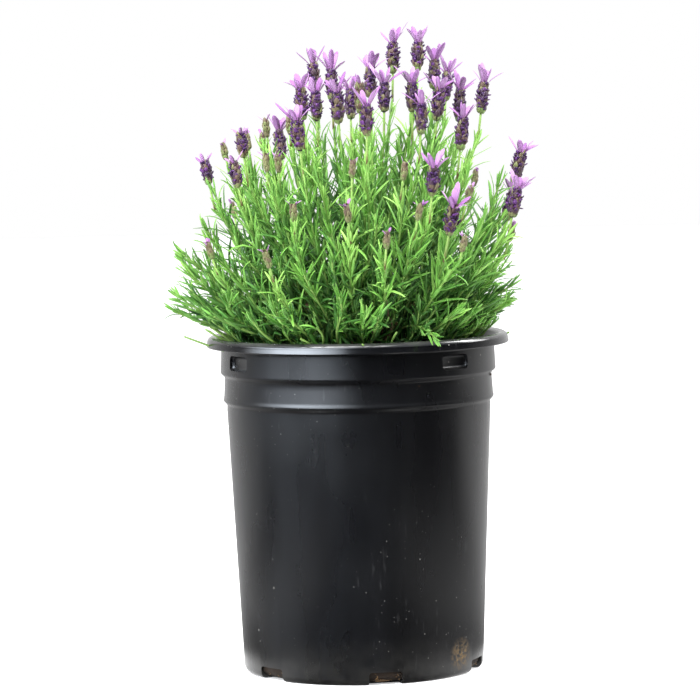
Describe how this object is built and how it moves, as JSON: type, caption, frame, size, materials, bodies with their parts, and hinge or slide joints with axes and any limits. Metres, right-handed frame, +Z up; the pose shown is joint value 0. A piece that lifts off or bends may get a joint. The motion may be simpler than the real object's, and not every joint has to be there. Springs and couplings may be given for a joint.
{
  "type": "potted lavender",
  "caption": "Bushy flowering lavender with slim leafy shoots and lilac-tufted flower spikes, growing in a tall round black nursery pot.",
  "frame": {"origin": "centre of the pot's flat underside, on the surface it stands on", "axes": "+Z up along the pot's axis, +X to the right seen from the front, the front facing -Y"},
  "size_m": [0.2024, 0.1876, 0.3501],
  "materials": {
    "pot_plastic": "satin black moulded plastic, lightly dusty and scuffed",
    "potting_mix": "damp dark brown peat and bark with pale grit",
    "woody_crown": "rough brown bark",
    "leafy_shoot": "matt fresh green leaves and stems with fine down",
    "flower_head": "lilac bracts over a dark violet and brown spike"
  },
  "bodies": {
    "root": {"nursery_pot": "pot_plastic", "potting_mix": "potting_mix", "woody_crown": "woody_crown", "flowering_shoot_01": "leafy_shoot", "flowering_shoot_02": "leafy_shoot", "flowering_shoot_03": "leafy_shoot", "flowering_shoot_04": "leafy_shoot", "flowering_shoot_05": "leafy_shoot", "flowering_shoot_06": "leafy_shoot", "flowering_shoot_07": "leafy_shoot", "flowering_shoot_08": "leafy_shoot", "flowering_shoot_09": "leafy_shoot", "flowering_shoot_10": "leafy_shoot", "flowering_shoot_11": "leafy_shoot", "flowering_shoot_12": "leafy_shoot", "flowering_shoot_13": "leafy_shoot", "flowering_shoot_14": "leafy_shoot", "flowering_shoot_15": "leafy_shoot", "flowering_shoot_16": "leafy_shoot", "flowering_shoot_17": "leafy_shoot", "flowering_shoot_18": "leafy_shoot", "middle_shoot_01": "leafy_shoot", "middle_shoot_02": "leafy_shoot", "middle_shoot_03": "leafy_shoot", "middle_shoot_04": "leafy_shoot", "middle_shoot_05": "leafy_shoot", "middle_shoot_06": "leafy_shoot", "middle_shoot_07": "leafy_shoot", "middle_shoot_08": "leafy_shoot", "low_shoot_01": "leafy_shoot", "low_shoot_02": "leafy_shoot", "low_shoot_03": "leafy_shoot", "low_shoot_04": "leafy_shoot", "low_shoot_05": "leafy_shoot", "low_shoot_06": "leafy_shoot", "low_shoot_07": "leafy_shoot", "low_shoot_08": "leafy_shoot", "low_shoot_09": "leafy_shoot", "low_shoot_10": "leafy_shoot", "low_shoot_11": "leafy_shoot", "low_shoot_12": "leafy_shoot", "flower_head_01": "flower_head", "flower_head_02": "flower_head", "flower_head_03": "flower_head", "flower_head_04": "flower_head", "flower_head_05": "flower_head", "flower_head_06": "flower_head", "flower_head_07": "flower_head", "flower_head_08": "flower_head", "flower_head_09": "flower_head", "flower_head_10": "flower_head", "flower_head_11": "flower_head", "flower_head_12": "flower_head", "flower_head_13": "flower_head", "flower_head_14": "flower_head", "flower_head_15": "flower_head", "flower_head_16": "flower_head", "flower_head_17": "flower_head", "flower_head_18": "flower_head"}
  },
  "joints": []
}
